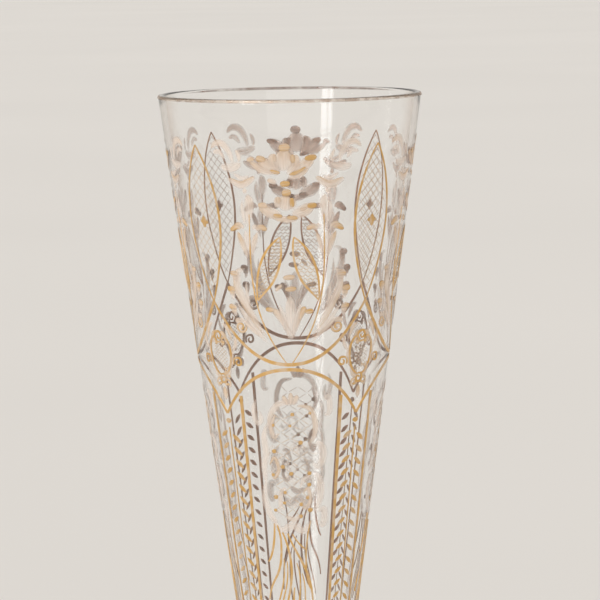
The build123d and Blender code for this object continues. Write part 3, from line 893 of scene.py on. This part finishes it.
def cut_panel_cartouche(number):
    """The tall scrolled frame in the lower panel, with a net of fine lines and gold dots inside it."""
    cut = Engraver("panel_cartouche", number)
    frame_strokes = (
        ([(-12.6, 73.4), (-13.6, 69.6), (-9.0, 66.6), (-2.0, 65.6), (5.0, 66.0)], 1.5, 0.15),
        ([(3.4, 66.4), (11.4, 67.0), (15.4, 70.0), (14.8, 73.4), (10.4, 75.4)], 1.5, 0.35),
        ([(-9.6, 68.2), (-12.8, 71.2), (-11.0, 73.4), (-8.2, 72.4)], 1.2, 0.3),
        ([(-20.6, 67.4), (-19.6, 69.6), (-22.8, 70.2), (-24.2, 67.4), (-21.8, 65.0)], 1.6, 0.0),
        ([(20.8, 68.6), (24.6, 68.0), (23.8, 64.8), (20.6, 65.4)], 1.6, 0.0),
        ([(-15.4, 70.2), (-18.2, 73.4), (-17.4, 77.2), (-19.6, 80.4), (-18.4, 84.4)], 1.7, 0.1),
        ([(-18.6, 83.4), (-20.4, 87.4), (-16.4, 91.2), (-11.6, 92.8)], 1.8, 0.0),
        ([(12.4, 75.6), (18.8, 75.2), (21.4, 77.6), (18.6, 80.2), (13.6, 79.4)], 2.1, 0.0),
        ([(15.6, 81.4), (19.6, 83.6), (20.2, 87.2), (17.0, 90.4)], 1.8, 0.05),
        ([(19.0, 90.4), (23.8, 90.0), (24.0, 93.2), (20.4, 93.4)], 1.8, 0.0),
        ([(-17.0, 91.6), (-9.0, 94.4), (0.0, 93.4), (8.0, 94.6), (14.4, 92.2)], 1.9, 0.05),
        ([(-6.0, 91.2), (1.0, 92.0), (7.4, 90.8)], 1.3, 0.2),
        ([(-15.6, 79.8), (-11.6, 78.0), (-9.0, 80.6), (-12.4, 82.6), (-14.6, 80.8)], 1.0, 0.5),
        ([(7.4, 86.2), (11.4, 85.0), (12.6, 88.2), (8.6, 89.4), (7.0, 87.2)], 1.0, 0.35),
        ([(-3.6, 84.8), (-7.4, 85.6), (-8.8, 88.8), (-4.8, 89.8)], 1.1, 0.15),
        ([(12.6, 82.6), (8.4, 82.8), (5.2, 85.2)], 1.1, 0.1),
    )
    for places, breadth, gold in frame_strokes:
        cut.stroke(places, breadth, gilt=(gold, gold * 0.4), steps=5 * len(places), cover=0.9)
    for scribble in range(30):
        angle, drop = cut.hand.uniform(-15, 15), cut.hand.uniform(74.5, 91)
        length, dip = cut.hand.uniform(2.2, 5.0), cut.hand.uniform(-1.2, 1.2)
        places = [(angle - length, drop - dip), (angle, drop + dip), (angle + length, drop - dip * 0.6)]
        faint = {"gilt": (0.05, 0.1), "relief": FLAT_RELIEF * MM, "cover": 0.5}
        cut.stroke(places, 0.6, shape=line, sides=5, steps=8, **faint)
    for angle in (-4.4, 0.0, 4.4):
        cut.stroke([(angle * 0.3, 66.4), (angle, 63.4 + abs(angle) * 0.15)], 1.2, gilt=(0.1, 0.35))
    net = {}
    for row in range(18):
        for column in range(-1, 2):
            angle = 12.4 * (column + 0.5 * (row % 2)) + cut.hand.uniform(-1.2, 1.2)
            net[row, column] = (angle, 68.2 + row * 1.35 + cut.hand.uniform(-0.25, 0.25))
    for (row, column), place in net.items():
        for aside in (0, 1):
            other = net.get((row + 1, column + aside - 1 + row % 2))
            if other and max(abs(place[0]), abs(other[0])) < 14.5:
                cut.hatch([place, other], gilt=0.5, width=0.8)
        if abs(place[0]) < 14.5 and cut.hand.random() < 0.42:
            cut.dot(place, cut.hand.uniform(0.7, 1.1), gilt=1.0)
    return cut.done()


# ---- Operators -------------------------------------------------------------------------------------------
class FLUTE_OT_materials(bpy.types.Operator):
    """Makes the node groups and the materials of the flute"""

    bl_idname = "flute.materials"
    bl_label = "Materials"

    def execute(self, context):
        make_hand_wear()
        make_wheel_streaks()
        make_inward()
        make_blown_glass()
        make_gold("fired_gold", context.scene.flute_gilt.gold)
        make_gold("worn_gold", context.scene.flute_gilt.rim, worn_away=True)
        make_ground_glass()
        make_floor_paint()
        return {"FINISHED"}


class FLUTE_OT_glass(bpy.types.Operator):
    """Turns the bowl, collar, knop, stem and foot"""

    bl_idname = "flute.glass"
    bl_label = "Glass"

    def execute(self, context):
        for node in GLASS_NODES:
            turn_piece(node)
        return {"FINISHED"}


def gild_rim():
    """The worn line of gold on the outside of the lip."""
    settings = bpy.context.scene.flute_gilt
    lip = LIP_RADIUS * MM + settings.rim_lift
    low = radians(RIM_LINE_START)
    middle = Vector((RIM_RADIUS - LIP_RADIUS, 0, RIM_HEIGHT - LIP_RADIUS)) * MM
    bm = bmesh.new()
    start = bm.verts.new(middle + lip * Vector((cos(low), 0, sin(low))))
    bmesh.ops.spin(bm, geom=[start], cent=middle, axis=(0, -1, 0), angle=radians(RIM_LINE_SWEEP), steps=8)
    bmesh.ops.spin(
        bm,
        geom=bm.verts[:] + bm.edges[:],
        cent=(0, 0, 0),
        axis=(0, 0, 1),
        angle=2 * pi,
        steps=bpy.context.scene.flute_glass.turns,
        use_merge=True,
    )
    bmesh.ops.remove_doubles(bm, verts=bm.verts, dist=WELD * MM)
    bmesh.ops.recalc_face_normals(bm, faces=bm.faces)
    bmesh.ops.solidify(bm, geom=bm.faces[:], thickness=settings.rim_lift / 2)
    bmesh.ops.recalc_face_normals(bm, faces=bm.faces)
    for face in bm.faces:
        face.smooth = True
    return finish_piece(bm, "rim_line", "worn_gold")


class FLUTE_OT_gilding(bpy.types.Operator):
    """Gives every gilt node its fired gold, and gilds the lip"""

    bl_idname = "flute.gilding"
    bl_label = "Gilding"

    def execute(self, context):
        for node in GILT_NODES:
            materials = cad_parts[node].data.materials
            materials.clear()
            materials.append(bpy.data.materials["fired_gold"])
        gild_rim()
        return {"FINISHED"}


class FLUTE_OT_flowers(bpy.types.Operator):
    """Cuts the bouquets, finials and crests of the upper bowl"""

    bl_idname = "flute.flowers"
    bl_label = "Flowers"

    def execute(self, context):
        for number in range(PANELS):
            cut_bouquet(number)
            cut_finials(number)
            cut_crests(number)
        return {"FINISHED"}


class FLUTE_OT_leaves(bpy.types.Operator):
    """Cuts the acanthus, the palmettes and the filling of the leaves"""

    bl_idname = "flute.leaves"
    bl_label = "Leaves"

    def execute(self, context):
        for number in range(PANELS):
            cut_acanthus(number)
            cut_palmette(number)
            cut_leaf_waves(number)
        return {"FINISHED"}


class FLUTE_OT_lattices(bpy.types.Operator):
    """Cuts the lattices of the ovals and the cartouches"""

    bl_idname = "flute.lattices"
    bl_label = "Lattices"

    def execute(self, context):
        for number in range(PANELS):
            cut_oval_lattice(number)
            cut_pilaster_cartouche(number)
            cut_panel_cartouche(number)
        return {"FINISHED"}


def make_floor():
    """A plain pale floor, level with the underside of the foot."""
    settings = bpy.context.scene.flute_stage
    bm = bmesh.new()
    bmesh.ops.create_circle(bm, cap_ends=True, segments=128, radius=settings.floor_radius)
    mesh = bpy.data.meshes.new("floor")
    bm.to_mesh(mesh)
    bm.free()
    mesh.materials.append(bpy.data.materials["floor_paint"])
    floor = bpy.data.objects.new("floor", mesh)
    bpy.context.scene.collection.objects.link(floor)


def make_light(name, kind, power, turn, height, distance, **settings):
    """A light that stands round the glass by that turn in degrees from the front, and looks at the bowl."""
    light = bpy.data.lights.new(name, kind)
    light.energy = power
    for label, value in settings.items():
        setattr(light, label, value)
    lamp = bpy.data.objects.new(name, light)
    bpy.context.scene.collection.objects.link(lamp)
    place = Vector((sin(radians(turn)) * distance, -cos(radians(turn)) * distance, height))
    aim = Vector((0, 0, RIM_HEIGHT * MM * 0.75)) - place
    lamp.matrix_world = Matrix.Translation(place) @ aim.to_track_quat("-Z", "Y").to_matrix().to_4x4()
    return lamp


def make_sky():
    """An even pale room, dimmer overhead."""
    settings = bpy.context.scene.flute_stage
    world = bpy.data.worlds.new("room")
    bpy.context.scene.world = world
    world.use_nodes = True
    tree = world.node_tree
    way = add_node(tree, "ShaderNodeTexCoord").outputs["Generated"]
    height = add_node(tree, "ShaderNodeSeparateXYZ", {0: way}).outputs["Z"]
    colour = mix_colours(tree, spread(tree, height, 0.25, 0.95), settings.sky, settings.overhead)
    tree.links.new(colour, tree.nodes["Background"].inputs["Color"])
    tree.nodes["Background"].inputs["Strength"].default_value = 1.0


def make_camera():
    """The camera, a little over the rim and looking slightly down at the upper bowl."""
    settings = bpy.context.scene.flute_stage
    data = bpy.data.cameras.new("camera")
    data.sensor_width = 36
    data.lens = settings.camera_lens
    data.clip_end = 100
    camera = bpy.data.objects.new("camera", data)
    bpy.context.scene.collection.objects.link(camera)
    turn = Matrix.Rotation(radians(settings.camera_turn), 4, "Z")
    tilt = Matrix.Rotation(radians(90 - settings.camera_tilt), 4, "X")
    roll = Matrix.Rotation(radians(-settings.camera_roll), 4, "Z")
    height = RIM_HEIGHT * MM + settings.camera_over_rim
    place = Matrix.Translation((settings.camera_aside, -settings.camera_distance, height))
    camera.matrix_world = turn @ place @ tilt @ roll
    bpy.context.scene.camera = camera


class FLUTE_OT_stage(bpy.types.Operator):
    """Makes the floor, the light and the camera"""

    bl_idname = "flute.stage"
    bl_label = "Stage"

    def execute(self, context):
        make_floor()
        make_sky()
        for name, turn, width in (("window_pane_1", -37.5, 0.10), ("window_pane_2", -31.5, 0.16)):
            pane_size = {"shape": "RECTANGLE", "size": width, "size_y": 1.7}
            pane = make_light(name, "AREA", PANE_POWER * width, turn, 0.45, 1.5, **pane_size)
            pane.visible_diffuse = False
        box = make_light("soft_box", "AREA", 22, -8, 1.0, 2.4, shape="RECTANGLE", size=3.2, size_y=2.4)
        box.visible_diffuse = False
        box.visible_camera = False
        box.visible_transmission = False
        make_light("sun", "SUN", 1.05, -40, 1.6, 1.6, angle=radians(25))
        make_camera()
        context.scene.view_settings.view_transform = "Standard"
        return {"FINISHED"}


class FLUTE_PT_sidebar(bpy.types.Panel):
    """Lists the settings and the operators of the flute"""

    bl_idname = "FLUTE_PT_sidebar"
    bl_label = "Champagne Flute"
    bl_space_type = "VIEW_3D"
    bl_region_type = "UI"
    bl_category = "Flute"

    def draw(self, context):
        for name, group in SETTINGS.items():
            box = self.layout.box()
            for label in group.__annotations__:
                box.prop(getattr(context.scene, name), label)
        for operator in OPERATORS:
            self.layout.operator(operator.bl_idname)


SETTINGS = {
    "flute_glass": FluteGlassSettings,
    "flute_gilt": FluteGiltSettings,
    "flute_engraving": FluteEngravingSettings,
    "flute_stage": FluteStageSettings,
}
OPERATORS = (
    FLUTE_OT_materials,
    FLUTE_OT_glass,
    FLUTE_OT_gilding,
    FLUTE_OT_flowers,
    FLUTE_OT_leaves,
    FLUTE_OT_lattices,
    FLUTE_OT_stage,
)


def register():
    for name, group in SETTINGS.items():
        bpy.utils.register_class(group)
        setattr(bpy.types.Scene, name, bpy.props.PointerProperty(type=group))
    for operator in OPERATORS:
        bpy.utils.register_class(operator)
    bpy.utils.register_class(FLUTE_PT_sidebar)


def unregister():
    bpy.utils.unregister_class(FLUTE_PT_sidebar)
    for operator in reversed(OPERATORS):
        bpy.utils.unregister_class(operator)
    for name, group in SETTINGS.items():
        delattr(bpy.types.Scene, name)
        bpy.utils.unregister_class(group)


def main():
    register()
    for operator in OPERATORS:
        part, verb = operator.bl_idname.split(".")
        getattr(getattr(bpy.ops, part), verb)()


if __name__ == "__main__":
    main()
